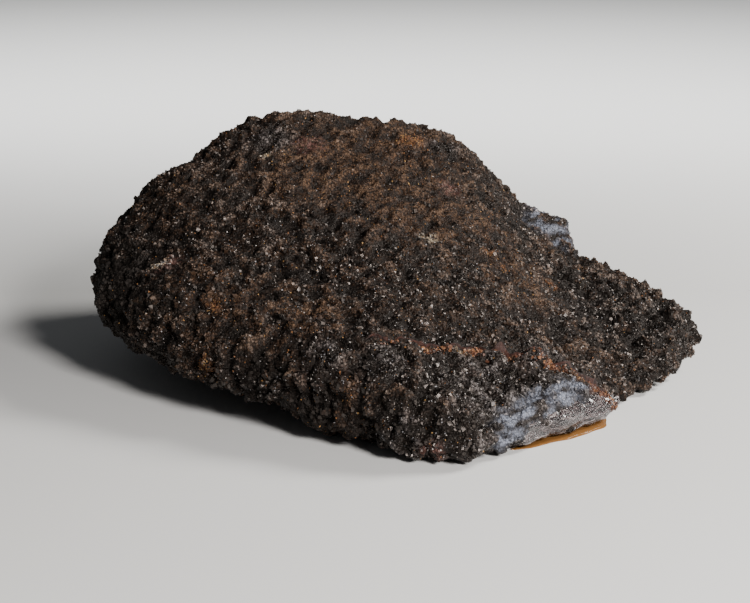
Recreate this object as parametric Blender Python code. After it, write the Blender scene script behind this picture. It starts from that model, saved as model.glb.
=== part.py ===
"""A whole smoked roast: one slab of meat in a dark bark, humped at the back and thin on the right.

Lengths are in metres, +Z is up, and +Y points away from the side where a slice has been started.
The origin is the middle of the base. The roast is shaped from a ball of square faces: every point
of the ball is carried out to the plan outline, and up to the top surface or down to the base.
"""

import math

import bmesh
import bpy
from mathutils import Vector, noise

MM = 0.001

# How many faces the ball has along each edge of its six sides
GRID = 28

# The plan outline, as reach from the middle at a compass bearing (0 is +X, 90 is +Y)
OUTLINE = (
    (-102, 137 * MM),
    (-81, 160 * MM),
    (-62, 141 * MM),
    (-45, 135 * MM),
    (-28, 127 * MM),
    (-10, 144 * MM),
    (8, 158 * MM),
    (38, 160 * MM),
    (62, 158 * MM),
    (92, 146 * MM),
    (122, 150 * MM),
    (152, 157 * MM),
    (175, 155 * MM),
    (197, 141 * MM),
    (222, 127 * MM),
    (240, 125 * MM),
)

# By bearing: the height at which the side stands out furthest, how square its shoulder is above
# that height, and how square it is below
SIDE = (
    (-100, 15 * MM, 3.1, 3.4),
    (-81, 12 * MM, 2.5, 5.0),
    (-60, 7 * MM, 2.1, 4.6),
    (-40, 6 * MM, 2.1, 4.6),
    (-12, 11 * MM, 3.0, 3.0),
    (8, 13 * MM, 3.0, 2.6),
    (45, 18 * MM, 2.9, 2.4),
    (95, 44 * MM, 3.6, 2.6),
    (150, 46 * MM, 3.0, 2.4),
    (182, 37 * MM, 2.1, 2.1),
    (205, 32 * MM, 2.3, 2.0),
    (235, 24 * MM, 2.6, 2.1),
)

# How much of the underside is trimmed flat, to rest on
BASE_TRIM = 1.8 * MM

# The hump and the thin right lobe are two sloping tops, blended over a shoulder along X
HUMP_HEIGHT = 73 * MM
HUMP_RISE_Y = 0.295
HUMP_CURVE_Y = 1.05
HUMP_RISE_X = -0.10
LOBE_HEIGHT = 26 * MM
LOBE_RISE_Y = 0.17
SHOULDER_FROM = 12 * MM
SHOULDER_TO = 122 * MM

# Broad swellings and hollows of the top: centre X, centre Y, spread and height
SWELLINGS = (
    (-70 * MM, 94 * MM, 28 * MM, 11 * MM),
    (-126 * MM, 50 * MM, 34 * MM, -2 * MM),
    (74 * MM, -96 * MM, 29 * MM, 22 * MM),
    (24 * MM, -104 * MM, 24 * MM, -7 * MM),
    (36 * MM, -134 * MM, 19 * MM, -10 * MM),
    (52 * MM, 92 * MM, 22 * MM, 2 * MM),
    (148 * MM, 12 * MM, 20 * MM, 5 * MM),
)

# A knob of fat that stands out of the back right edge
FAT_CENTRE = Vector((84 * MM, 116 * MM, 40 * MM))
FAT_SPREAD = 16 * MM
FAT_DEPTH = 15 * MM

# Broad lumps, knobs and the furrows that run down the steep sides
LUMP_SPAN = 34 * MM
LUMP_DEPTH = 3.4 * MM
KNOB_SPAN = 15 * MM
KNOB_DEPTH = 1.8 * MM
FURROW_SPAN = 21 * MM
FURROW_DEPTH = 2.6 * MM
FURROW_LEAN = 0.55
RELIEF_FADE = 9 * MM

# The slice that has been started: a slit across the front, from a point on the top to its open end
CUT_START = Vector((-14 * MM, -113 * MM, 46 * MM))
CUT_END = Vector((104 * MM, -81 * MM, 3 * MM))
CUT_WIDTH = 2.4 * MM
CUT_TIP_WIDTH = 0.8 * MM
CUT_ABOVE = 30 * MM

BARK_COLOUR = (0.028, 0.019, 0.014, 1.0)
BARK_ROUGHNESS = 0.55


def clear_scene():
    """Remove whatever the file opened with."""
    for ob in list(bpy.data.objects):
        bpy.data.objects.remove(ob, do_unlink=True)


def collection(name):
    """A new collection in the scene."""
    group = bpy.data.collections.new(name)
    bpy.context.scene.collection.children.link(group)
    return group


def round_the_ring(table, bearing, column):
    """Read one column of a table by bearing, eased between its rows all the way round."""
    bearing = (bearing - table[0][0]) % 360 + table[0][0]
    rows = table + ((table[0][0] + 360,) + table[0][1:],)
    for before, after in zip(rows, rows[1:]):
        if bearing <= after[0]:
            share = (bearing - before[0]) / (after[0] - before[0])
            eased = share * share * (3 - 2 * share)
            blend = (share + eased) / 2
            return before[column] + (after[column] - before[column]) * blend
    return rows[-1][column]


def smooth_step(value, start, stop):
    """0 before start, 1 after stop, eased between."""
    share = min(max((value - start) / (stop - start), 0.0), 1.0)
    return share**3 * (share * (6 * share - 15) + 10)


def swelling(distance, spread, height):
    """A smooth bump's height at a distance from its centre."""
    return height * math.exp(-((distance / spread) ** 2))


def top_height(x, y):
    """The height of the top over a point of the plan, before its edge is rounded."""
    hump = HUMP_HEIGHT + HUMP_RISE_X * x + HUMP_RISE_Y * y + HUMP_CURVE_Y * y * y
    lobe = LOBE_HEIGHT + LOBE_RISE_Y * y
    height = hump + (lobe - hump) * smooth_step(x, SHOULDER_FROM, SHOULDER_TO)
    for centre_x, centre_y, spread, rise in SWELLINGS:
        height += swelling(math.hypot(x - centre_x, y - centre_y), spread, rise)
    return height


def on_roast(direction):
    """Carry a point of the unit ball to the roast's smooth surface."""
    upper = direction.z > 0
    bearing = math.degrees(math.atan2(direction.y, direction.x))
    reach = round_the_ring(OUTLINE, bearing, 1)
    side = round_the_ring(SIDE, bearing, 1)
    squareness = round_the_ring(SIDE, bearing, 2 if upper else 3)
    slope = math.asin(min(abs(direction.z), 1.0))
    out = math.cos(slope) ** (2 / squareness)
    rise = math.sin(slope) ** (2 / squareness)
    x = out * reach * math.cos(math.radians(bearing))
    y = out * reach * math.sin(math.radians(bearing))
    if upper:
        return Vector((x, y, side + (top_height(x, y) - side) * rise))
    return Vector((x, y, side * (1 - rise) - BASE_TRIM * rise))


def relief(point, normal):
    """How far the bark stands out from the smooth surface."""
    depth = LUMP_DEPTH * noise.noise(point / LUMP_SPAN)
    depth += KNOB_DEPTH * noise.noise(point / KNOB_SPAN + Vector((7.0, 3.0, 5.0)))
    steep = 1 - abs(normal.z)
    along = point.x - point.y + FURROW_LEAN * point.z
    wander = 2 * noise.noise(point / (2 * LUMP_SPAN))
    furrow = abs(math.sin(math.pi * along / FURROW_SPAN + wander)) ** 3
    depth -= FURROW_DEPTH * steep * furrow
    depth += swelling((point - FAT_CENTRE).length, FAT_SPREAD, FAT_DEPTH)
    return depth


def roughen(bm):
    """Push the points of the smooth roast along their normals, and keep its base flat."""
    bm.normal_update()
    steps = []
    for vert in bm.verts:
        fade = min(max(vert.co.z / RELIEF_FADE, 0.0), 1.0)
        steps.append(vert.normal * relief(vert.co, vert.normal) * fade)
    for vert, step in zip(bm.verts, steps):
        vert.co += step
        vert.co.z = max(vert.co.z, 0.0)


def shape_roast():
    """The roast as a mesh centred on its base, and the shift that centred it."""
    bm = bmesh.new()
    bmesh.ops.create_cube(bm, size=2.0)
    bmesh.ops.subdivide_edges(bm, edges=bm.edges[:], cuts=GRID - 1, use_grid_fill=True)
    for vert in bm.verts:
        vert.co = on_roast(vert.co.normalized())
    roughen(bm)
    xs = [vert.co.x for vert in bm.verts]
    ys = [vert.co.y for vert in bm.verts]
    shift = Vector((-(min(xs) + max(xs)) / 2, -(min(ys) + max(ys)) / 2, 0.0))
    bmesh.ops.translate(bm, verts=bm.verts[:], vec=shift)
    bmesh.ops.recalc_face_normals(bm, faces=bm.faces[:])
    mesh = bpy.data.meshes.new("roast")
    bm.to_mesh(mesh)
    bm.free()
    mesh.shade_smooth()
    return mesh, shift


def shape_slit(shift):
    """The space that the first slice leaves: an upright wedge whose edge runs from start to end."""
    run = CUT_END - CUT_START
    across = Vector((-run.y, run.x, 0.0)).normalized()
    bm = bmesh.new()
    bmesh.ops.create_cube(bm, size=1.0)
    for vert in bm.verts:
        upper = vert.co.z > 0
        foot = CUT_END if vert.co.x > 0 else CUT_START
        width = CUT_WIDTH if upper else CUT_TIP_WIDTH
        lift = Vector((0.0, 0.0, CUT_ABOVE if upper else 0.0))
        vert.co = foot + shift + lift + across * width * vert.co.y
    bmesh.ops.recalc_face_normals(bm, faces=bm.faces[:])
    mesh = bpy.data.meshes.new("first slice")
    bm.to_mesh(mesh)
    bm.free()
    return mesh


def bark_material():
    """Almost black smoked crust."""
    material = bpy.data.materials.new("bark")
    material.use_nodes = True
    surface = material.node_tree.nodes["Principled BSDF"]
    surface.inputs["Base Color"].default_value = BARK_COLOUR
    surface.inputs["Roughness"].default_value = BARK_ROUGHNESS
    surface.inputs["Metallic"].default_value = 0.0
    return material


def main():
    """Build the roast and start its first slice."""
    clear_scene()
    parts = collection("barbecued roast")
    cutters = collection("cutters")
    mesh, shift = shape_roast()
    roast = bpy.data.objects.new("roast", mesh)
    roast.data.materials.append(bark_material())
    parts.objects.link(roast)
    slit = bpy.data.objects.new("first slice", shape_slit(shift))
    slit.hide_render = True
    slit.display_type = "WIRE"
    cutters.objects.link(slit)
    cut = roast.modifiers.new("first slice", "BOOLEAN")
    cut.operation = "DIFFERENCE"
    cut.solver = "EXACT"
    cut.object = slit


main()
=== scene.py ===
# %% [markdown]
# # A barbecued roast in its pepper bark
#
# This notebook dresses one smoked roast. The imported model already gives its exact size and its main
# forms: the hump, the thin lobe on the right, the knob of fat and the first slice. What is missing
# is everything that makes it look cooked: a craggy crust, thousands of grains of rub, the wet and
# fatty places, and the colours that run from black to warm brown.

import math
import random

import bmesh
import bpy
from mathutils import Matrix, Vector, noise


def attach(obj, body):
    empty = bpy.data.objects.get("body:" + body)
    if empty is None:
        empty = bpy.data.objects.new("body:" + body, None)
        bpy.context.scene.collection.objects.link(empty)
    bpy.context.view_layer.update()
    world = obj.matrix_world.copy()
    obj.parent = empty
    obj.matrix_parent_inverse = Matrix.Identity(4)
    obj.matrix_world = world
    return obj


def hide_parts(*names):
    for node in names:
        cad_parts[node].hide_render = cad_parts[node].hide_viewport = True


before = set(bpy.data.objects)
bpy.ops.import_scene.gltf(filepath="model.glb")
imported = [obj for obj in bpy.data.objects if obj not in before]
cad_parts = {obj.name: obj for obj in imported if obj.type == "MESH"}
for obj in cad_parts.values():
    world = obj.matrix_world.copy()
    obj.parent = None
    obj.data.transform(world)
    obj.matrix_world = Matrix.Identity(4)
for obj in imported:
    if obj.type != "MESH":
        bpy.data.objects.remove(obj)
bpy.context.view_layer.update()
MM = 0.001

# %% [markdown]
# ## The camera
#
# The camera looks slightly down on the roast through a long lens, from 235 mm above the ground that
# it lies on. The focal length is given in pixels of a picture 750 pixels wide, and turned into a
# lens for a sensor 36 mm wide. The camera's place is in the model's own frame, so nothing has to be
# fitted by eye later.

# %% Camera
PICTURE_WIDTH = 750
FOCAL_PIXELS = 1703
SENSOR_WIDTH = 36.0
LOOK_DOWN = math.radians(13.6)
CAMERA_PLACE = Vector((-0.0120, -0.8249, 0.235))

eye = bpy.data.cameras.new("camera")
eye.sensor_width = SENSOR_WIDTH
eye.lens = FOCAL_PIXELS * SENSOR_WIDTH / PICTURE_WIDTH
camera = bpy.data.objects.new("camera", eye)
camera.location = CAMERA_PLACE
camera.rotation_euler = (math.radians(90) - LOOK_DOWN, 0.0, 0.0)
bpy.context.scene.collection.objects.link(camera)
bpy.context.scene.camera = camera
print("lens", round(eye.lens, 2), "mm")

# %% [markdown]
# ## A pale floor and soft light
#
# A crust this dark is drawn by its highlights. The key lamp stands to the right and a little
# behind, so that each grain catches a small glint and the left end falls into shade. The side lamp
# stands at the front right and opens the shadows of the front wall. The backdrop lamp is large and
# faces away from the roast, onto the floor behind it, so that the ground looks even. A weak sky
# fills what is left.

# %% Floor
FLOOR_SIZE = 6.0
FLOOR_COLOUR = (0.74, 0.74, 0.7252, 1.0)
FLOOR_ROUGHNESS = 0.6


def new_object(name, mesh):
    """Put a mesh into the scene as an object at the origin."""
    piece = bpy.data.objects.new(name, mesh)
    bpy.context.scene.collection.objects.link(piece)
    return piece


def bmesh_object(name, bm):
    """Turn a finished bmesh into an object."""
    mesh = bpy.data.meshes.new(name)
    bm.to_mesh(mesh)
    bm.free()
    return new_object(name, mesh)


def new_material(name):
    """A node material and its main shader."""
    material = bpy.data.materials.new(name)
    material.use_nodes = True
    return material, material.node_tree.nodes["Principled BSDF"]


bm = bmesh.new()
bmesh.ops.create_grid(bm, x_segments=1, y_segments=1, size=FLOOR_SIZE / 2)
floor = bmesh_object("floor", bm)
floor_paint, floor_shader = new_material("pale floor")
floor_shader.inputs["Base Color"].default_value = FLOOR_COLOUR
floor_shader.inputs["Roughness"].default_value = FLOOR_ROUGHNESS
floor.data.materials.append(floor_paint)
print("floor", FLOOR_SIZE, "m")

# %% Lamps and sky
SKY_STRENGTH = 0.07
SKY_COLOUR = (0.92, 0.95, 1.0, 1.0)
AIM = Vector((0.0, 0.0, 0.04))
FAR_FLOOR = Vector((0.0, 2.9, 0.0))
# Each lamp's name, place, aim, size in metres, power in watts and colour
LAMPS = (
    ("key", Vector((0.95, 0.22, 0.75)), AIM, 0.36, 19.0, (1.0, 0.97, 0.93)),
    ("side", Vector((0.54, -0.97, 0.58)), AIM, 0.26, 24.5, (1.0, 0.965, 0.94)),
    ("backdrop", Vector((0.0, 1.35, 1.35)), FAR_FLOOR, 2.2, 85.0, (1.0, 1.0, 1.0)),
)


def add_lamp(name, place, aim, size, power, colour):
    """A square lamp that faces a point."""
    data = bpy.data.lights.new(name, "AREA")
    data.shape = "SQUARE"
    data.size = size
    data.energy = power
    data.color = colour
    lamp = bpy.data.objects.new(name, data)
    lamp.location = place
    lamp.rotation_euler = (aim - place).to_track_quat("-Z", "Y").to_euler()
    bpy.context.scene.collection.objects.link(lamp)


for lamp in LAMPS:
    add_lamp(*lamp)
world = bpy.data.worlds.new("sky")
world.use_nodes = True
sky = world.node_tree.nodes["Background"]
sky.inputs["Color"].default_value = SKY_COLOUR
sky.inputs["Strength"].default_value = SKY_STRENGTH
bpy.context.scene.world = world
print("lamps", [lamp[0] for lamp in LAMPS])

# %% [markdown]
# ## The skin: an even mesh to carve
#
# The crust has crags a few millimetres wide, so its mesh needs points every millimetre or two. The
# packed roast is loose triangles of uneven size. A copy of it is merged and then remeshed from a
# voxel grid, which gives even squares all over. The first remesh uses voxels wider than the slit of
# the first slice, so the slit closes, and it is cut again at the end. How fine the squares can be
# is set by a cap on the triangles of one piece, which the script asserts.

# %% Copy and remesh
CLOSE_VOXEL = 3.4 * MM
EVEN_VOXEL = 2.95 * MM
MERGE_WITHIN = 0.01 * MM
MOST_TRIANGLES = 199000


def settle(piece):
    """Keep what the modifiers make as the piece's own mesh, and take the modifiers away."""
    depsgraph = bpy.context.evaluated_depsgraph_get()
    made = bpy.data.meshes.new_from_object(
        piece.evaluated_get(depsgraph), preserve_all_data_layers=True, depsgraph=depsgraph
    )
    piece.modifiers.clear()
    piece.data = made


def remesh(piece, voxel):
    """Rebuild the piece's mesh as even squares."""
    even = piece.modifiers.new("even squares", "REMESH")
    even.mode = "VOXEL"
    even.voxel_size = voxel
    settle(piece)


bm = bmesh.new()
bm.from_mesh(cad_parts["roast"].data)
bmesh.ops.remove_doubles(bm, verts=bm.verts[:], dist=MERGE_WITHIN)
skin = bmesh_object("roast_skin", bm)
remesh(skin, CLOSE_VOXEL)
print("closed", len(skin.data.polygons), "squares")

# %% [markdown]
# ## Smoothing the closed slit
#
# Where the slit was, the first remesh leaves small pits. Only the points near the line of the cut
# are smoothed, so that the furrows elsewhere keep their depth.

# %% Smooth along the cut
CUT_START = Vector((-16.1, -108.4, 46.0)) * MM
CUT_END = Vector((101.9, -76.4, 3.0)) * MM
CUT_RUN = (CUT_END - CUT_START).normalized()
CUT_ACROSS = Vector((-CUT_RUN.y, CUT_RUN.x, 0.0)).normalized()
HEAL_WIDTH = 7 * MM
HEAL_ROUNDS = 12


def beside_cut(point):
    """How far a point lies across from the upright plane of the cut, and how far along it."""
    offset = point - CUT_START
    along = Vector((CUT_RUN.x, CUT_RUN.y, 0.0)).normalized()
    return offset.dot(CUT_ACROSS), offset.dot(along)


def soften(bm, verts):
    """Draw points halfway towards the middle of their neighbours."""
    bmesh.ops.smooth_vert(
        bm, verts=verts, factor=0.5, use_axis_x=True, use_axis_y=True, use_axis_z=True
    )


bm = bmesh.new()
bm.from_mesh(skin.data)
cut_length = beside_cut(CUT_END)[1]
near = []
for vert in bm.verts:
    across, along = beside_cut(vert.co)
    if abs(across) < HEAL_WIDTH and -HEAL_WIDTH < along < cut_length + HEAL_WIDTH:
        near.append(vert)
for _ in range(HEAL_ROUNDS):
    soften(bm, near)
bm.to_mesh(skin.data)
bm.free()
remesh(skin, EVEN_VOXEL)
print("healed", len(near), "points, now", len(skin.data.polygons), "squares")

# %% [markdown]
# ## Halving the squares that show
#
# Only what can be seen needs fine squares, so the flat base keeps its large ones. Every other
# square is halved each way and softened once, which puts a point about every millimetre and a half.

# %% Halve the squares
BASE_HEIGHT = 0.6 * MM

bm = bmesh.new()
bm.from_mesh(skin.data)
shown = []
for edge in bm.edges:
    if max(vert.co.z for vert in edge.verts) > BASE_HEIGHT:
        shown.append(edge)
bmesh.ops.subdivide_edges(bm, edges=shown, cuts=1, use_grid_fill=True)
soften(bm, [vert for vert in bm.verts if vert.co.z > BASE_HEIGHT])
print("skin has", len(bm.verts), "points")

# %% [markdown]
# ## Carving the crust
# The darker gaps are partly soot and partly painted shade; the lighter crests are partly painted
# light.
#
# Bark is not evenly rough. The steep sides are split by upright furrows, where rendered fat ran
# down. The top shows the grain of the meat as soft diagonal ridges. Both are broken by knobs, domed
# lumps and short cracks, which are calmer on the crown and coarser on the lobe. Fat and the greasy
# lip have smooth lengthwise folds instead. Every point is pushed along its normal by a sum of such
# forms, each with its own span and depth, and they fade out towards the flat base. How far a point
# came to stand out is kept as its ridge number, so that gaps can be coloured darker than crests.
# The noise that bends lumps and cracks starts from the clock unless it is given a seed, so it gets
# one here, and every run carves the same crust.

# %% Sizes of the relief
NOISE_SEED = 7
noise.seed_set(NOISE_SEED)
# Knobs and fibres are pairs of a span and a depth
KNOBS = ((13 * MM, 2.0 * MM), (6.5 * MM, 2.7 * MM), (3.4 * MM, 1.4 * MM))
FIBRES = ((6.5 * MM, 3.0 * MM), (3.4 * MM, 2.0 * MM))
FIBRE_ALONG = Vector((0.52, 0.85, 0.0)).normalized()
FIBRE_STRETCH = 3.2
FIBRES_ELSEWHERE = 0.25
LUMP_SPAN = 5.5 * MM
LUMP_HEIGHT = 2.3 * MM
LUMP_LEVEL = 0.35
LUMP_BEND = 0.3
CRACK_SPAN = 14 * MM
CRACK_DEPTH = 3.0 * MM
CRACK_SHARE = 0.15
CRACK_BEND = 0.35
CRACK_PATCHES = 30 * MM
FURROWS = 84
FURROW_DEPTH = 5.0 * MM
FURROW_SHARPNESS = 1.5
FURROW_BEND = 1.3
FURROW_BEND_SPAN = 26 * MM
FURROW_WOBBLE = 0.35
FURROW_WOBBLE_SPAN = 7 * MM
FURROW_PATCHES = 22 * MM
FURROW_NOISE_PLACE = Vector((4.0, 1.0, 8.0))
SLEEK_ALONG = Vector((0.66, 0.75, 0.0)).normalized()
SLEEK_STRETCH = 4.0
SLEEK_SPAN = 4.0 * MM
SLEEK_DEPTH = 2.2 * MM
FOOT_FADE = 3.5 * MM
RIDGE_SPAN = 5.0 * MM
# Soft balls, each a centre and a radius in millimetres
CALM = ((-35, 60, 95, 80), (25, 58, 82, 44), (0, 110, 100, 60), (-100, 40, 70, 50))
LUMPY = ((112, 52, 28, 30), (130, 18, 22, 34), (100, 84, 34, 22))
SLEEK = ((58, -124, 8, 12), (74, -108, 10, 14), (90, -92, 8, 12), (84, 118, 46, 12))
LUMPY_KNOBS = 0.8
CALM_CRAGS = 0.62
CALM_LUMPS = 0.75
print("relief of", len(KNOBS), "knob sizes,", len(FIBRES), "fibre sizes and", FURROWS, "furrows")

# %% Forms of the relief


def clamped(value):
    """The value, kept between 0 and 1."""
    return min(max(value, 0.0), 1.0)


def drawn_out(point, way, stretch):
    """A point squeezed along a way, so that noise read there comes out stretched along it."""
    return point - way * point.dot(way) * (1 - 1 / stretch)


def knobs(point):
    """Round knobs of three sizes."""
    return sum(depth * noise.noise(point / span) for span, depth in KNOBS)


def lumps(point):
    """Domed lumps with narrow gaps between them, as cells of a Voronoi pattern."""
    bent = point / LUMP_SPAN + LUMP_BEND * noise.noise_vector(point / (0.8 * LUMP_SPAN))
    nearest = noise.voronoi(bent)[0][0]
    return LUMP_HEIGHT * (LUMP_LEVEL - nearest * nearest)


def cracks(point):
    """Narrow cracks where two cells of a bent Voronoi pattern meet."""
    bent = point / CRACK_SPAN + CRACK_BEND * noise.noise_vector(point / (0.6 * CRACK_SPAN))
    distances = noise.voronoi(bent)[0]
    share = (distances[1] - distances[0]) / CRACK_SHARE
    return -CRACK_DEPTH * math.exp(-share * share) * (0.5 + noise.noise(point / CRACK_PATCHES))


def furrows(point, steep):
    """Upright furrows on the steep sides, counted by the bearing of the point."""
    around = FURROWS * math.atan2(point.y, point.x) / math.tau
    bend = FURROW_BEND * noise.noise(point / FURROW_BEND_SPAN)
    wobble = FURROW_WOBBLE * noise.noise(point / FURROW_WOBBLE_SPAN)
    around += bend + wobble
    valley = (1 - abs(math.sin(math.pi * around))) ** FURROW_SHARPNESS
    patch = noise.noise(point / FURROW_PATCHES + FURROW_NOISE_PLACE)
    strength = max(0.0, 0.7 + 1.2 * patch)
    return -FURROW_DEPTH * steep * strength * valley


def fibres(point, level):
    """Soft ridges along the grain of the meat, on top, in two sizes."""
    squeezed = drawn_out(point, FIBRE_ALONG, FIBRE_STRETCH)
    ridges = 0.0
    for span, depth in FIBRES:
        ridges += depth * (0.6 - 2 * abs(noise.noise(squeezed / span)))
    return level * ridges


def folds(point):
    """Smooth lengthwise folds on fat and on the thin lip."""
    squeezed = drawn_out(point, SLEEK_ALONG, SLEEK_STRETCH)
    return SLEEK_DEPTH * noise.noise(squeezed / SLEEK_SPAN)


def within(balls, point):
    """1 well inside one of the balls and 0 outside them, with a soft edge."""
    most = 0.0
    for x, y, z, radius in balls:
        reach = (point - Vector((x, y, z)) * MM).length / (radius * MM)
        most = max(most, math.exp(-(reach**4)))
    return most


def crust(point, normal):
    """How far the crust stands out at a point."""
    level = max(normal.z, 0.0)
    quiet = within(CALM, point)
    lumpy = within(LUMPY, point)
    rugged = knobs(point) * (1 + LUMPY_KNOBS * lumpy) + cracks(point)
    rugged *= 1 - CALM_CRAGS * quiet
    pebbly = lumps(point) * (1 - CALM_LUMPS * quiet)
    streaky = fibres(point, level) * (FIBRES_ELSEWHERE + (1 - FIBRES_ELSEWHERE) * quiet)
    rough = rugged + pebbly + streaky + furrows(point, 1 - level)
    depth = rough + (folds(point) - rough) * within(SLEEK, point)
    return depth * min(point.z / FOOT_FADE, 1.0)


print("forms of the relief ready")

# %% Carve
bm.normal_update()
depths = [crust(vert.co, vert.normal) for vert in bm.verts]
pushes = [vert.normal * depth for vert, depth in zip(bm.verts, depths)]
# The ridge number is kept to paint gaps darker, partly as soot and partly as painted shade.
ridge = bm.verts.layers.float.new("ridge")
for vert, push, depth in zip(bm.verts, pushes, depths):
    vert.co += push
    vert.co.z = max(vert.co.z, 0.0)
    vert[ridge] = clamped(0.5 + depth / RIDGE_SPAN)
bm.to_mesh(skin.data)
bm.free()
skin.data.shade_smooth()
print("carved, from", round(min(depths) / MM, 1), "to", round(max(depths) / MM, 1), "mm")

# %% [markdown]
# ## Opening the first slice again
#
# The slit is a thin upright wedge with slightly uneven walls, taken out of the skin by a Boolean.
# Towards its start it narrows and reaches deeper, so that it ends as a fine dark line. The wedge
# carries its own material, so the walls of the slit come out as bare meat, painted dark as shade.

# %% Slit
SLIT_WIDTH = 3.8 * MM
SLIT_TIP_WIDTH = 1.6 * MM
SLIT_ABOVE = 40 * MM
SLIT_START_DEEPER = 7 * MM
SLIT_START_WIDTH = 0.15
SLIT_TAPER = 0.16
SLIT_CUTS = 30
SLIT_WANDER = 0.45 * MM
SLIT_WANDER_SPAN = 5 * MM

meat, meat_shader = new_material("bare meat in painted shade")
bark, bark_shader = new_material("bark")

bm = bmesh.new()
bmesh.ops.create_cube(bm, size=1.0)
bmesh.ops.subdivide_edges(bm, edges=bm.edges[:], cuts=SLIT_CUTS, use_grid_fill=True)
for vert in bm.verts:
    share_along = vert.co.x + 0.5
    share_up = vert.co.z + 0.5
    width = SLIT_TIP_WIDTH + (SLIT_WIDTH - SLIT_TIP_WIDTH) * share_up
    width *= min(1.0, SLIT_START_WIDTH + share_along / SLIT_TAPER)
    foot = CUT_START.lerp(CUT_END, share_along)
    foot.z -= SLIT_START_DEEPER * (1 - share_along)
    side = vert.co.y * width
    vert.co = foot + CUT_ACROSS * side + Vector((0.0, 0.0, share_up * SLIT_ABOVE))
    vert.co += CUT_ACROSS * SLIT_WANDER * noise.noise(vert.co / SLIT_WANDER_SPAN)
bmesh.ops.recalc_face_normals(bm, faces=bm.faces[:])
wedge = bmesh_object("slit wedge", bm)
wedge.data.materials.append(meat)
skin.data.materials.clear()
skin.data.materials.append(bark)
cut = skin.modifiers.new("first slice", "BOOLEAN")
cut.operation = "DIFFERENCE"
cut.solver = "EXACT"
cut.material_mode = "TRANSFER"
cut.object = wedge
settle(skin)
bpy.data.objects.remove(wedge, do_unlink=True)
print("materials on the skin", [slot.name for slot in skin.data.materials])
skin_triangles = sum(len(face.vertices) - 2 for face in skin.data.polygons)
assert skin_triangles < MOST_TRIANGLES, skin_triangles
print("skin triangles", skin_triangles)

# %% [markdown]
# ## Where the crust changes
#
# The roast isn't one colour. Its crown is warm brown and the lobe is black. The left end is charred
# and also painted darker as shade, and the foot of the front wall is painted in shade too. The
# front right is wet, and its grey is partly a painted sheen; small wet spots on the front wall and
# the toe are painted grey glints. Bare fat with a painted cool sheen lies above a greasy lip, and
# single spots are orange, pink or cream. Each of these is a list of soft balls, written as centre
# and radius in millimetres. Their weights are stored on the points of the skin, so that the crust
# and every kind of grain can use the same map.

# %% Map of the crust
PLACES = {
    "warm": (
        (-22, 58, 95, 50),
        (0, 90, 100, 36),
        (5, 20, 75, 34),
        (45, 30, 60, 22),
        (-81, -63, 50, 22),
        (-45, -85, 42, 22),
        (-30, -122, 22, 20),
        (55, -5, 45, 22),
    ),
    "black": (
        (-138, -12, 45, 34),
        (120, 8, 24, 44),
        (95, 40, 32, 26),
        (-70, -110, 12, 26),
    ),
    # Charred: real char, and painted shade over the left end and the foot of the front wall
    "charred_and_shade": (
        (-142, -20, 42, 34),
        (-132, 20, 40, 26),
        (-44, -122, 5, 15),
        (-24, -134, 4, 12),
    ),
    # Wet: real grease, with a painted grey sheen; the spots on the front wall and toe are painted
    # glints
    "wet_and_sheen": (
        (45, -126, 16, 40),
        (72, -100, 14, 30),
        (0, -147, 12, 16),
        (24, -150, 8, 16),
        (-34, -116, 38, 13),
        (-8, -122, 38, 13),
        (-66, 78, 104, 13),
        (24, 90, 100, 10),
    ),
    "orange": (
        (7, 90, 103, 8),
        (45, 5, 58, 4),
        (53, -2, 54, 3),
        (78, 24, 38, 4),
        (-91, -86, 27, 6),
        (10, -105, 41, 3.5),
        (28, -100, 38, 3.5),
        (48, -95, 33, 3.5),
        (68, -90, 28, 3.5),
        (80, -86, 21, 4),
        (-85, -66, 49, 4),
    ),
    "pink": (
        (-46, 73, 103, 9),
        (27, 54, 82, 7),
        (-113, -25, 60, 8),
        (85, -84, 16, 6),
        (13, -149, 6, 5),
    ),
    "cream": (
        (-116, -24, 60, 5),
        (-70, 62, 100, 3),
        (14, -3, 68, 4),
        (28, -99, 38, 3),
    ),
    "fatty": (
        (84, 118, 46, 17),
        (42, -139, 9, 7),
        (47, -133, 13, 8),
        (54, -123, 16, 7),
        (62, -113, 17, 7),
        (70, -103, 18, 7),
        (78, -94, 18, 6),
    ),
    "glazed": (
        (58, -124, 5, 8),
        (68, -115, 6, 9),
        (79, -104, 6, 9),
        (89, -93, 6, 9),
        (98, -82, 6, 9),
        (106, -72, 5, 8),
    ),
}
EDGE_WANDER = 0.45
EDGE_COARSE = 7 * MM
EDGE_FINE = 3 * MM
STREAK_SPAN = 3.4 * MM


def weight(place, point):
    """How much of a place's finish a point has, from 0 to 1, with a ragged edge."""
    ragged = EDGE_WANDER * noise.noise(point / EDGE_COARSE)
    ragged += 0.5 * EDGE_WANDER * noise.noise(point / EDGE_FINE)
    most = 0.0
    for x, y, z, radius in PLACES[place]:
        reach = (point - Vector((x, y, z)) * MM).length / (radius * MM) + ragged
        most = max(most, math.exp(-(max(reach, 0.0) ** 4)))
    return most


def streaks(point):
    """Lengthwise streaks where fat shows, from 0 to 1."""
    squeezed = drawn_out(point, SLEEK_ALONG, SLEEK_STRETCH)
    return clamped(0.55 + 1.9 * noise.noise(squeezed / STREAK_SPAN))


def store(piece, name, values):
    """Keep one number for each point of the piece."""
    layer = piece.data.attributes.new(name, "FLOAT", "POINT")
    layer.data.foreach_set("value", values)


points = [vert.co.copy() for vert in skin.data.vertices]
for place in PLACES:
    values = [weight(place, point) for point in points]
    if place == "fatty":
        values = [value * streaks(point) for value, point in zip(values, points)]
    store(skin, place, values)
    print(place, "covers", round(100 * sum(values) / len(values), 1), "%")

# %% [markdown]
# ## The greasy lip
#
# At the front right the crust ends in a thin lip that the rub has left, shining with fat. Its faces
# are picked by their weight in the map and get a finish of their own. The skin's finishes are, in
# this order, the bark, the bare meat that the Boolean brought along, and the lip.

# %% Faces of the greasy lip
LIP_FROM = 0.5
BARK_FINISH = 0
MEAT_FINISH = 1
LIP_FINISH = 2

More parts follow.
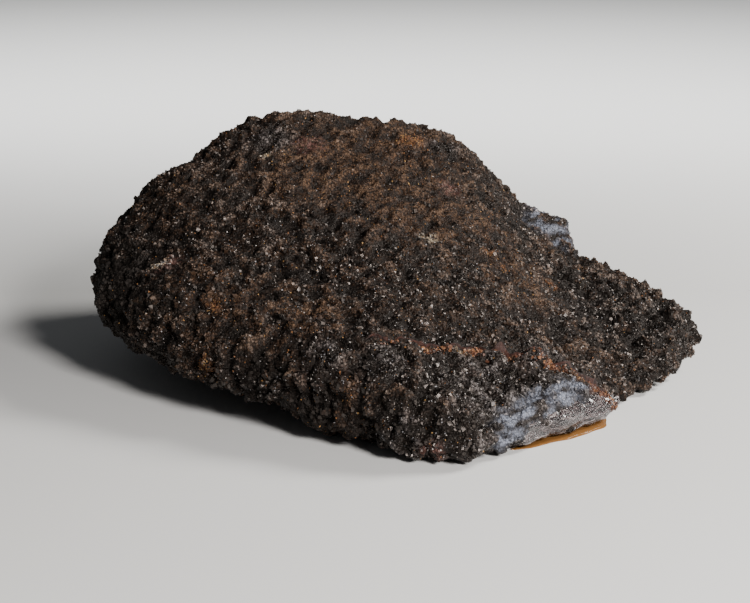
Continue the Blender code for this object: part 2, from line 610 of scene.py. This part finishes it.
lip, lip_shader = new_material("greasy lip")
skin.data.materials.append(lip)
maps = {place: [item.value for item in skin.data.attributes[place].data] for place in PLACES}
lip_faces = 0
for face in skin.data.polygons:
    glaze = sum(maps["glazed"][index] for index in face.vertices) / len(face.vertices)
    if face.material_index == BARK_FINISH and glaze > LIP_FROM:
        face.material_index = LIP_FINISH
        lip_faces += 1
print("greasy lip has", lip_faces, "faces")

# %% [markdown]
# ## Where grains may lie
#
# Grains keep off the cut walls of the slit and a narrow band on both sides of it. They also keep
# off the foot, where they would reach through the ground. What is left is the cover, from 0 to 1.

# %% Cover
GRAIN_FOOT = 1.5 * MM
GRAIN_FOOT_FADE = 2.5 * MM
CLEAR_OF_SLIT = 2.3 * MM

bare = [0.0] * len(points)
for face in skin.data.polygons:
    if face.material_index == MEAT_FINISH:
        for index in face.vertices:
            bare[index] = 1.0
cover = []
for index, point in enumerate(points):
    across, along = beside_cut(point)
    if abs(across) < CLEAR_OF_SLIT and 0 < along < cut_length:
        bare[index] = 1.0
    rise = (point.z - GRAIN_FOOT) / GRAIN_FOOT_FADE
    cover.append((1 - bare[index]) * clamped(rise))
store(skin, "cover", cover)
print("grains may lie on", round(100 * sum(cover) / len(cover)), "% of the points")

# %% [markdown]
# ## Node helpers
#
# The materials are all built from the same few nodes: noise read in the roast's own coordinates, a
# ramp of colours, and a mix between two colours by a map of the crust. Small helpers keep each
# recipe short.

# %% Helpers for materials


def rgba(colour):
    """A colour with full cover."""
    return colour + (1.0,)


class Recipe:
    """Adds nodes to one material and joins them up."""

    def __init__(self, material):
        self.tree = material.node_tree
        self.place = self.tree.nodes.new("ShaderNodeTexCoord").outputs["Object"]

    def node(self, kind, **settings):
        """A new node with some of its settings changed."""
        made = self.tree.nodes.new(kind)
        for name, value in settings.items():
            setattr(made, name, value)
        return made

    def feed(self, socket, value):
        """Give a socket a link or a fixed value."""
        if isinstance(value, bpy.types.NodeSocket):
            self.tree.links.new(value, socket)
        else:
            socket.default_value = value

    def noise(self, span, detail=3.0, rough=0.6, stretch=None):
        """Clouds of noise of a span in metres."""
        made = self.node("ShaderNodeTexNoise")
        made.inputs["Scale"].default_value = 1 / span
        made.inputs["Detail"].default_value = detail
        made.inputs["Roughness"].default_value = rough
        source = self.place
        if stretch:
            mapping = self.node("ShaderNodeMapping")
            mapping.inputs["Scale"].default_value = stretch
            self.feed(mapping.inputs["Vector"], self.place)
            source = mapping.outputs["Vector"]
        self.feed(made.inputs["Vector"], source)
        return made.outputs["Fac"]

    def cells(self, span):
        """Round cells: the distance from a cell's middle, and the cell's chance number."""
        made = self.node("ShaderNodeTexVoronoi")
        made.inputs["Scale"].default_value = 1 / span
        self.feed(made.inputs["Vector"], self.place)
        apart = self.node("ShaderNodeSeparateColor")
        self.feed(apart.inputs["Color"], made.outputs["Color"])
        return made.outputs["Distance"], apart.outputs["Red"]

    def layer(self, name):
        """A number that is kept on the points of the mesh."""
        made = self.node("ShaderNodeAttribute", attribute_name=name)
        return made.outputs["Fac"]

    def ramp(self, source, stops):
        """A run of colours, each with its place between 0 and 1."""
        made = self.node("ShaderNodeValToRGB")
        elements = made.color_ramp.elements
        while len(elements) < len(stops):
            elements.new(0.5)
        for element, (place, colour) in zip(elements, stops):
            element.position = place
            element.color = rgba(colour)
        self.feed(made.inputs["Fac"], source)
        return made.outputs["Color"]

    def mix(self, share, first, second):
        """A mix of two colours, whose sockets come after those for numbers and vectors."""
        made = self.node("ShaderNodeMix", data_type="RGBA")
        self.feed(made.inputs[0], share)
        self.feed(made.inputs[6], first)
        self.feed(made.inputs[7], second)
        return made.outputs[2]

    def range(self, source, low, high, to_low=0.0, to_high=1.0):
        """A value moved from one range to another, and kept inside it."""
        made = self.node("ShaderNodeMapRange")
        self.feed(made.inputs["Value"], source)
        made.inputs["From Min"].default_value = low
        made.inputs["From Max"].default_value = high
        made.inputs["To Min"].default_value = to_low
        made.inputs["To Max"].default_value = to_high
        return made.outputs["Result"]

    def math(self, operation, first, second):
        """A sum, difference or product of two values."""
        made = self.node("ShaderNodeMath", operation=operation)
        self.feed(made.inputs[0], first)
        self.feed(made.inputs[1], second)
        return made.outputs[0]

    def bump(self, height, distance, strength, below=None):
        """Fine bumps, laid over those below where there are any."""
        made = self.node("ShaderNodeBump")
        made.inputs["Distance"].default_value = distance
        made.inputs["Strength"].default_value = strength
        self.feed(made.inputs["Height"], height)
        if below:
            self.feed(made.inputs["Normal"], below)
        return made.outputs["Normal"]


print("recipe helpers ready")

# %% [markdown]
# ## The bark itself
#
# Under the grains lies a baked paste of spice, smoke and fat. It is almost black and warmer on the
# crown. Where fat keeps it wet it is shiny, and its grey there is partly a painted sheen. Its gaps
# are painted darker as shade. Its fine bumps are too small for the mesh, so they are left to the
# shader.

# %% Bark material
BLACK = (0.0022, 0.0017, 0.0014)
SOOT = (0.008, 0.0058, 0.0045)
DARK_BROWN = (0.031, 0.0160, 0.0090)
WARM_BROWN = (0.064, 0.0350, 0.0195)
TAN = (0.105, 0.060, 0.034)
SLATE = (0.028, 0.0275, 0.029)
# Ash grey that also serves as painted glints in the wet places
ASH_AND_GLINT_GREY = (0.14, 0.13, 0.13)
DUST = (0.135, 0.108, 0.092)
# Pale fat; its blue cast is a painted cool sheen.
FAT_AND_COOL_SHEEN = (0.21, 0.23, 0.285)
PINK = (0.11, 0.050, 0.040)
ORANGE = (0.13, 0.056, 0.024)
CREAM = (0.42, 0.34, 0.24)
WARM_GLINT = (1.0, 0.87, 0.79, 1.0)
SHADE_CLOUDS = 8 * MM
BROWN_CLOUDS = 13 * MM
SPOT_PATCHES = 2.4 * MM
MOST_CHAR_AND_SHADE = 0.85
MOST_WET_AND_SHEEN = 0.75


def crust_colour(recipe, chance):
    """The crust's colour by a chance number, how far it stands out and the map, with painted shade.
    """
    # Painted shade and light: gaps get darker colours and crests lighter ones, partly for soot in
    # gaps.
    ridge_soot_and_shade = recipe.range(recipe.layer("ridge"), 0.15, 0.85, 0.30, 1.15)
    clouds = recipe.range(recipe.noise(SHADE_CLOUDS, 2.0, 0.5), 0.38, 0.62, 0.40, 1.60)
    chance = recipe.math("MULTIPLY", chance, recipe.math("MULTIPLY", ridge_soot_and_shade, clouds))
    black = recipe.ramp(chance, ((0.0, BLACK), (0.5, SOOT), (0.8, DARK_BROWN), (1.0, DUST)))
    brown = recipe.ramp(
        chance, ((0.0, BLACK), (0.15, SOOT), (0.4, DARK_BROWN), (0.75, WARM_BROWN), (1.0, TAN))
    )
    grey = recipe.ramp(chance, ((0.0, BLACK), (0.3, SOOT), (0.6, SLATE), (1.0, ASH_AND_GLINT_GREY)))
    browned = recipe.range(recipe.noise(BROWN_CLOUDS, 4.0, 0.6), 0.36, 0.60)
    some_brown = recipe.mix(recipe.math("MULTIPLY", browned, 0.6), black, brown)
    warmth = recipe.math("ADD", recipe.layer("warm"), recipe.math("MULTIPLY", browned, 0.25))
    colour = recipe.mix(warmth, some_brown, brown)
    colour = recipe.mix(recipe.layer("black"), colour, black)
    # Painted shade as well as char: these places are mixed towards black.
    charred_and_shade = recipe.math("MULTIPLY", recipe.layer("charred_and_shade"), MOST_CHAR_AND_SHADE)
    colour = recipe.mix(charred_and_shade, colour, rgba(BLACK))
    # Painted sheen as well as wetness: these places are mixed towards grey, up to glint grey.
    wet_and_sheen = recipe.math("MULTIPLY", recipe.layer("wet_and_sheen"), MOST_WET_AND_SHEEN)
    colour = recipe.mix(wet_and_sheen, colour, grey)
    patchy = recipe.range(recipe.noise(SPOT_PATCHES, 2.0), 0.42, 0.58)
    for place, paint in (("orange", ORANGE), ("pink", PINK), ("cream", CREAM)):
        share = recipe.math("MULTIPLY", recipe.layer(place), patchy)
        colour = recipe.mix(share, colour, rgba(paint))
    # Fat, with a painted cool sheen in its colour.
    return recipe.mix(recipe.layer("fatty"), colour, rgba(FAT_AND_COOL_SHEEN))


recipe = Recipe(bark)
from_middle, chance = recipe.cells(1.3 * MM)
colour = crust_colour(recipe, chance)
# Painted shade: the gaps between the fine cells are mixed towards black.
painted_gap_shade = recipe.range(from_middle, 0.35, 0.75, 0.0, 0.75)
colour = recipe.mix(painted_gap_shade, colour, rgba(BLACK))
recipe.feed(bark_shader.inputs["Base Color"], colour)
rough = recipe.range(recipe.noise(4 * MM, 3.0), 0.35, 0.65, 0.50, 0.75)
rough = recipe.math("SUBTRACT", rough, recipe.math("MULTIPLY", recipe.layer("wet_and_sheen"), 0.20))
rough = recipe.math("SUBTRACT", rough, recipe.math("MULTIPLY", recipe.layer("fatty"), 0.15))
recipe.feed(bark_shader.inputs["Roughness"], rough)
bark_shader.inputs["Specular IOR Level"].default_value = 0.22
bark_shader.inputs["Specular Tint"].default_value = WARM_GLINT
bumpy = recipe.bump(recipe.noise(0.8 * MM, 3.0), 0.6 * MM, 0.8)
bumpy = recipe.bump(recipe.math("SUBTRACT", 1.0, from_middle), 1.0 * MM, 0.9, bumpy)
recipe.feed(bark_shader.inputs["Normal"], bumpy)
print("bark ready")

# %% Bare meat in the slit
# Meat colours painted far darker than raw meat, as shade inside the slit
SHADED_MEAT_DARK = (0.010, 0.0042, 0.0032)
SHADED_MEAT_LIGHT = (0.070, 0.027, 0.019)

recipe = Recipe(meat)
strands = recipe.noise(1.6 * MM, 4.0, 0.6, (1.0, 1.0, 0.25))
colour = recipe.ramp(strands, ((0.35, SHADED_MEAT_DARK), (0.68, SHADED_MEAT_LIGHT)))
recipe.feed(meat_shader.inputs["Base Color"], colour)
meat_shader.inputs["Roughness"].default_value = 0.38
recipe.feed(meat_shader.inputs["Normal"], recipe.bump(strands, 1.0 * MM, 0.9))
print("meat ready")

# %% Greasy lip
LIP_DARK = (0.007, 0.0048, 0.0048)
LIP_PURPLE = (0.045, 0.027, 0.029)
LIP_PALE = (0.18, 0.150, 0.142)

recipe = Recipe(lip)
layers = recipe.noise(3.6 * MM, 5.0, 0.7, (0.7, 0.7, 2.6))
colour = recipe.ramp(layers, ((0.47, LIP_DARK), (0.53, LIP_PURPLE), (0.61, LIP_PALE)))
recipe.feed(lip_shader.inputs["Base Color"], colour)
lip_shader.inputs["Roughness"].default_value = 0.20
lip_shader.inputs["Specular IOR Level"].default_value = 0.6
lip_shader.inputs["Coat Weight"].default_value = 0.6
lip_shader.inputs["Coat Roughness"].default_value = 0.06
recipe.feed(lip_shader.inputs["Normal"], recipe.bump(layers, 1.6 * MM, 0.9))
print("lip ready")

# %% [markdown]
# ## Grains
#
# The rub is coarse cracked pepper over finer spice. A few shapes of each kind are made by knocking
# a simple solid about, and Geometry Nodes scatter them over the skin with a random turn and size.
# Their number follows the map of the crust. The scattered copies are then made real, one piece for
# each kind, so that every grain is true mesh at its true size.

# %% Grain shapes
GRAIN_SIZE = 0.8
CONE_RADIUS = 0.6
SHAPES_OF_A_KIND = 5


def grain_shape(name, seed, blocky, flatness, jitter):
    """One grain about 1 across: a block or a three-sided cone with its corners knocked about."""
    dice = random.Random(seed)
    bm = bmesh.new()
    if blocky:
        bmesh.ops.create_cube(bm, size=GRAIN_SIZE)
        bmesh.ops.triangulate(bm, faces=bm.faces[:])
    else:
        bmesh.ops.create_cone(
            bm, cap_ends=True, segments=3, radius1=CONE_RADIUS, radius2=0.0, depth=GRAIN_SIZE
        )
    for vert in bm.verts:
        knock = Vector((dice.uniform(-1, 1), dice.uniform(-1, 1), dice.uniform(-1, 1)))
        vert.co += knock * jitter
        vert.co.z *= flatness
    mesh = bpy.data.meshes.new(name)
    bm.to_mesh(mesh)
    bm.free()
    return mesh


def grain_box(name, blocky, flatness, jitter):
    """A hidden collection with a few shapes of one kind of grain."""
    box = bpy.data.collections.new(name)
    for number in range(SHAPES_OF_A_KIND):
        seed = 31 * number + len(name)
        mesh = grain_shape(f"{name} {number}", seed, blocky, flatness, jitter)
        box.objects.link(bpy.data.objects.new(f"{name} {number}", mesh))
    return box


chips = grain_box("pepper chips", True, 0.75, 0.22)
crumbs = grain_box("rub crumbs", False, 0.95, 0.14)

# %% Scatter with Geometry Nodes
SMALLER_MORE_OFTEN = 1.5


def random_value(tree, seed):
    """A random number between 0 and 1 for each point, from the node's sockets for numbers."""
    made = tree.nodes.new("FunctionNodeRandomValue")
    made.data_type = "FLOAT"
    made.inputs[2].default_value = 0.0
    made.inputs[3].default_value = 1.0
    made.inputs["Seed"].default_value = seed
    return made.outputs[1]


def random_turn(tree, seed):
    """A random turn about all three axes for each point."""
    made = tree.nodes.new("FunctionNodeRandomValue")
    made.data_type = "FLOAT_VECTOR"
    made.inputs["Max"].default_value = (math.tau, math.tau, math.tau)
    made.inputs["Seed"].default_value = seed
    return made.outputs[0]


def scattered_points(tree, density, sink, seed):
    """Points spread over the skin by its own share, sunk a little into it."""
    nodes, join = tree.nodes, tree.links.new
    start = nodes.new("NodeGroupInput")
    share = nodes.new("GeometryNodeInputNamedAttribute")
    share.data_type = "FLOAT"
    share.inputs["Name"].default_value = "share"
    thick = nodes.new("ShaderNodeMath")
    thick.operation = "MULTIPLY"
    thick.inputs[1].default_value = density
    join(share.outputs["Attribute"], thick.inputs[0])
    spread = nodes.new("GeometryNodeDistributePointsOnFaces")
    spread.distribute_method = "RANDOM"
    spread.inputs["Seed"].default_value = seed
    join(start.outputs[0], spread.inputs["Mesh"])
    join(thick.outputs[0], spread.inputs["Density"])
    inwards = nodes.new("ShaderNodeVectorMath")
    inwards.operation = "SCALE"
    inwards.inputs["Scale"].default_value = -sink
    join(spread.outputs["Normal"], inwards.inputs[0])
    lift = nodes.new("GeometryNodeSetPosition")
    join(spread.outputs["Points"], lift.inputs["Geometry"])
    join(inwards.outputs[0], lift.inputs["Offset"])
    return lift.outputs["Geometry"]


def scatter_tree(name, box, material, density, sizes, sink, seed):
    """A node tree that covers a skin with grains from a box and gives back only the grains."""
    tree = bpy.data.node_groups.new(name, "GeometryNodeTree")
    tree.interface.new_socket(name="Geometry", in_out="INPUT", socket_type="NodeSocketGeometry")
    tree.interface.new_socket(name="Geometry", in_out="OUTPUT", socket_type="NodeSocketGeometry")
    nodes, join = tree.nodes, tree.links.new
    shade = nodes.new("GeometryNodeStoreNamedAttribute")
    shade.data_type = "FLOAT"
    shade.domain = "POINT"
    shade.inputs["Name"].default_value = "shade"
    join(scattered_points(tree, density, sink, seed), shade.inputs["Geometry"])
    join(random_value(tree, seed + 1), shade.inputs["Value"])
    shapes = nodes.new("GeometryNodeCollectionInfo")
    shapes.inputs["Collection"].default_value = box
    shapes.inputs["Separate Children"].default_value = True
    shapes.inputs["Reset Children"].default_value = True
    skewed = nodes.new("ShaderNodeMath")
    skewed.operation = "POWER"
    skewed.inputs[1].default_value = SMALLER_MORE_OFTEN
    join(random_value(tree, seed + 3), skewed.inputs[0])
    size = nodes.new("ShaderNodeMapRange")
    size.inputs["To Min"].default_value = sizes[0]
    size.inputs["To Max"].default_value = sizes[1]
    join(skewed.outputs[0], size.inputs["Value"])
    place = nodes.new("GeometryNodeInstanceOnPoints")
    place.inputs["Pick Instance"].default_value = True
    join(shade.outputs["Geometry"], place.inputs["Points"])
    join(shapes.outputs[0], place.inputs["Instance"])
    join(random_turn(tree, seed + 2), place.inputs["Rotation"])
    join(size.outputs[0], place.inputs["Scale"])
    real = nodes.new("GeometryNodeRealizeInstances")
    paint = nodes.new("GeometryNodeSetMaterial")
    paint.inputs["Material"].default_value = material
    end = nodes.new("NodeGroupOutput")
    join(place.outputs[0], real.inputs[0])
    join(real.outputs[0], paint.inputs["Geometry"])
    join(paint.outputs[0], end.inputs[0])
    return tree


face_areas = [(face.area, list(face.vertices)) for face in skin.data.polygons]
pieces = []


def scatter(name, box, material, share_at, number, sizes, sink, seed):
    """Cover the skin with a number of grains of one kind, and keep them as a piece of their own."""
    shares = [cover[index] * clamped(share_at(index)) for index in range(len(points))]
    piece = new_object(name, skin.data.copy())
    store(piece, "share", shares)
    shared_area = sum(
        area * sum(shares[index] for index in corners) / len(corners)
        for area, corners in face_areas
    )
    grains = piece.modifiers.new("grains", "NODES")
    density = number / shared_area
    grains.node_group = scatter_tree(name, box, material, density, sizes, sink, seed)
    settle(piece)
    for spent in ("share", "cover"):
        piece.data.attributes.remove(piece.data.attributes[spent])
    piece.data.shade_flat()
    triangles = sum(len(face.vertices) - 2 for face in piece.data.polygons)
    assert 0 < triangles < MOST_TRIANGLES, (name, triangles)
    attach(piece, "root")
    pieces.append((name, triangles))
    print(name, triangles, "triangles,", round(density * MM * MM, 2), "grains a square mm at most")


print("scatter ready, most triangles in a piece", MOST_TRIANGLES)

# %% [markdown]
# ## Kinds of grain
#
# Three kinds make the coat: coarse cracked pepper, nearly black and a little greasy, then dark rub,
# and brown rub where the smoke left the spice its colour. Their colours come from the same palette
# as the crust below them, with its painted shade and sheen. Tan flecks, pale flecks of salt and set
# fat that also serve as painted glints, and moist crumbs along the cut come on top, each with a few
# colours of its own. Every grain has a chance number, kept on its points, which picks its colour.
# Grains are duller on the warm crown and on the left end, which is charred and painted in shade.

# %% Finishes of the grains
ROUGHER_BY = 0.25
DULL_WARM = 0.3
DULL_CHARRED = 0.5
TAN_RUN = ((0.10, 0.040, 0.016), (0.24, 0.10, 0.035), (0.42, 0.25, 0.09))
# Pale flecks are salt and set fat, and also stand in as painted glints.
PALE_RUN = ((0.12, 0.12, 0.13), (0.26, 0.25, 0.26), (0.50, 0.46, 0.42))
CRUMB_RUN = ((0.020, 0.009, 0.006), (0.085, 0.032, 0.018), (0.28, 0.13, 0.06))


def grain_material(name, paint, rough, shine):
    """A finish for grains: paint makes the colour from a recipe and each grain's chance number."""
    material, shader = new_material(name)
    recipe = Recipe(material)
    recipe.feed(shader.inputs["Base Color"], paint(recipe, recipe.layer("shade")))
    uneven = recipe.range(recipe.noise(2 * MM), 0.3, 0.7, rough, rough + ROUGHER_BY)
    warm = recipe.math("MULTIPLY", recipe.layer("warm"), DULL_WARM)
    charred_and_shade = recipe.math("MULTIPLY", recipe.layer("charred_and_shade"), DULL_CHARRED)
    duller = recipe.math("ADD", warm, charred_and_shade)
    recipe.feed(shader.inputs["Roughness"], recipe.math("ADD", uneven, duller))
    fine = recipe.noise(0.3 * MM, 2.0)
    recipe.feed(shader.inputs["Normal"], recipe.bump(fine, 0.12 * MM, 0.6))
    shader.inputs["Specular IOR Level"].default_value = shine
    shader.inputs["Specular Tint"].default_value = WARM_GLINT
    return material


def crust_paint(low, high):
    """Paint from the crust's palette, between two of its chance numbers."""

    def paint(recipe, chance):
        return crust_colour(recipe, recipe.range(chance, 0.0, 1.0, low, high))

    return paint


def run_paint(colours):
    """Paint that runs evenly through a few colours."""

    def paint(recipe, chance):
        last = len(colours) - 1
        return recipe.ramp(chance, [(place / last, tone) for place, tone in enumerate(colours)])

    return paint


pepper_finish = grain_material("cracked pepper", crust_paint(0.0, 0.8), 0.25, 0.7)
dark_finish = grain_material("dark rub", crust_paint(0.0, 0.95), 0.30, 0.5)
brown_finish = grain_material("brown rub", crust_paint(0.25, 1.0), 0.38, 0.4)
tan_finish = grain_material("tan flecks", run_paint(TAN_RUN), 0.42, 0.4)
pale_finish = grain_material("pale flecks", run_paint(PALE_RUN), 0.28, 0.5)
crumb_finish = grain_material("moist crumbs", run_paint(CRUMB_RUN), 0.32, 0.5)
print("finishes of the grains ready")

# %% Cracked pepper, dark rub and brown rub
PEPPER_DRIFTS = 16 * MM
BROWN_DRIFTS = 12 * MM
BROWN_NOISE_PLACE = Vector((3.0, 9.0, 2.0))
PEPPER_SUNK = 0.2 * MM
ON_TOP = 0.0


def bald(index):
    """How far the rub has gone from a point, on fat and on the greasy lip."""
    return 0.8 * maps["fatty"][index] + 1.2 * maps["glazed"][index]


def pepper_share(index):
    """Pepper lies in drifts, thinner on the crown."""
    drift = noise.noise(points[index] / PEPPER_DRIFTS)
    return 0.65 + 0.7 * drift - 0.55 * within(CALM, points[index]) - bald(index)


def dark_share(index):
    """Dark rub lies everywhere, a little thinner in the warm places."""
    return 0.75 - 0.25 * maps["warm"][index] - bald(index)


def brown_share(index):
    """Brown rub keeps to the warm places and lies thinly elsewhere."""
    drift = noise.noise(points[index] / BROWN_DRIFTS + BROWN_NOISE_PLACE)
    thin = 0.22 + 0.25 * drift - 0.3 * maps["black"][index]
    return thin + 0.7 * maps["warm"][index] - bald(index)


chip_sizes = (0.7 * MM, 2.2 * MM)
dark_sizes = (0.5 * MM, 1.4 * MM)
brown_sizes = (0.35 * MM, 1.0 * MM)
scatter("cracked_pepper", chips, pepper_finish, pepper_share, 15500, chip_sizes, PEPPER_SUNK, 11)
scatter("dark_rub", crumbs, dark_finish, dark_share, 47000, dark_sizes, ON_TOP, 23)
scatter("brown_rub", crumbs, brown_finish, brown_share, 47000, brown_sizes, ON_TOP, 37)

# %% Flecks


def tan_share(index):
    """Tan flecks gather in the orange places, and a few lie in the warm ones."""
    return 0.012 + 0.02 * maps["warm"][index] + 0.8 * maps["orange"][index] - bald(index)


def pale_share(index):
    """Pale flecks, partly painted glints, gather where the crust is wet and in the cream spots."""
    wet_sheen_or_cream = 0.12 * maps["wet_and_sheen"][index] + 0.8 * maps["cream"][index]
    thinner = 0.05 * within(CALM, points[index]) + 0.1 * maps["charred_and_shade"][index]
    return 0.06 + wet_sheen_or_cream - thinner - bald(index)


tan_sizes = (0.4 * MM, 1.1 * MM)
pale_sizes = (0.3 * MM, 0.9 * MM)
scatter("tan_flecks", crumbs, tan_finish, tan_share, 3000, tan_sizes, ON_TOP, 41)
scatter("pale_flecks", crumbs, pale_finish, pale_share, 7000, pale_sizes, ON_TOP, 53)

# %% Crumbs along the cut
RIM_WIDTH = 2.2 * MM
RIM_HEAPS = 9 * MM
RIM_START_FADE = 30 * MM


def rim_share(index):
    """Crumbs hug the front lip of the slit in small heaps, and thin out towards its start."""
    across, along = beside_cut(points[index])
    if not 0 < along < cut_length or across > -CLEAR_OF_SLIT:
        return 0.0
    heaped = 0.5 + 1.6 * noise.noise(points[index] / RIM_HEAPS)
    beyond = (across + CLEAR_OF_SLIT) / RIM_WIDTH
    return heaped * math.exp(-beyond * beyond) * min(1.0, along / RIM_START_FADE)


rim_sizes = (0.5 * MM, 1.6 * MM)
scatter("rim_crumbs", chips, crumb_finish, rim_share, 420, rim_sizes, ON_TOP, 67)

# %% [markdown]
# ## Juice
#
# A thin bead of amber juice lies along the foot of the lip. It is a strip of grid that follows the
# foot, found as the outermost low points of the skin, with a rounded top that catches the light.
# The least of a few neighbours, and then their mean, keep single crags from moving the strip. Both
# ends draw back under the roast.

# %% Line of the foot
JUICE_FROM = Vector((55.0, -133.0, 0.0)) * MM
JUICE_TO = Vector((106.0, -74.0, 0.0)) * MM
JUICE_RUN = (JUICE_TO - JUICE_FROM).normalized()
JUICE_OUT = Vector((JUICE_RUN.y, -JUICE_RUN.x, 0.0))
JUICE_LENGTH = (JUICE_TO - JUICE_FROM).length
JUICE_STEPS = 72
NEIGHBOURS = 3
FOOT_HEIGHT = 4 * MM


def evened(values, pick):
    """Each value replaced by what pick makes of it and its neighbours on both sides."""
    made = []
    for step in range(len(values)):
        made.append(pick(values[max(step - NEIGHBOURS, 0) : step + NEIGHBOURS + 1]))
    return made


def mean(values):
    """The mean of a few values."""
    return sum(values) / len(values)


reaches = [-1.0] * (JUICE_STEPS + 1)
for point in points:
    offset = point - JUICE_FROM
    step = round(offset.dot(JUICE_RUN) / JUICE_LENGTH * JUICE_STEPS)
    if point.z < FOOT_HEIGHT and 0 <= step <= JUICE_STEPS:
        reaches[step] = max(reaches[step], offset.dot(JUICE_OUT))
foot = evened(evened(reaches, min), mean)
print("foot found at", len(foot), "steps")

# %% Juice along the foot
JUICE_ROWS = 10
JUICE_UNDER = 5 * MM
JUICE_HEIGHT = 0.9 * MM
JUICE_COLOUR = (0.20, 0.090, 0.026, 1.0)
JUICE_ROUGHNESS = 0.06
# How far the juice runs out, how far that wavers, and how far its ends draw back, in millimetres
RUNS_OUT = 3.0
WAVERS = 2.6
DRAWS_BACK = 4.0

bm = bmesh.new()
bmesh.ops.create_grid(bm, x_segments=JUICE_STEPS, y_segments=JUICE_ROWS, size=0.5)
for vert in bm.verts:
    share = vert.co.x + 0.5
    across = vert.co.y + 0.5
    step = round(share * JUICE_STEPS)
    ends = math.sin(math.pi * share) ** 0.8
    wave = noise.noise(Vector((share * 7.0, 2.5, 0.5)))
    width = JUICE_UNDER + (ends * (RUNS_OUT + WAVERS * wave) - DRAWS_BACK * (1 - ends)) * MM
    side = foot[step] - JUICE_UNDER + across * width
    vert.co = JUICE_FROM + JUICE_RUN * JUICE_LENGTH * share + JUICE_OUT * side
    vert.co.z = JUICE_HEIGHT * (1 - across**4) ** 0.5 * (0.4 + 0.6 * ends)
juice = bmesh_object("juice", bm)
juice.data.shade_smooth()
juice_finish, juice_shader = new_material("amber juice")
juice_shader.inputs["Base Color"].default_value = JUICE_COLOUR
juice_shader.inputs["Roughness"].default_value = JUICE_ROUGHNESS
juice.data.materials.append(juice_finish)
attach(juice, "root")
print("juice", round(JUICE_LENGTH / MM), "mm long")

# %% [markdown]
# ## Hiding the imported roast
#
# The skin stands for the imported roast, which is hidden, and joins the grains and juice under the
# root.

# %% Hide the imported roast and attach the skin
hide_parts("roast")
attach(skin, "root")
print("pieces", pieces, "in all", sum(count for _, count in pieces))
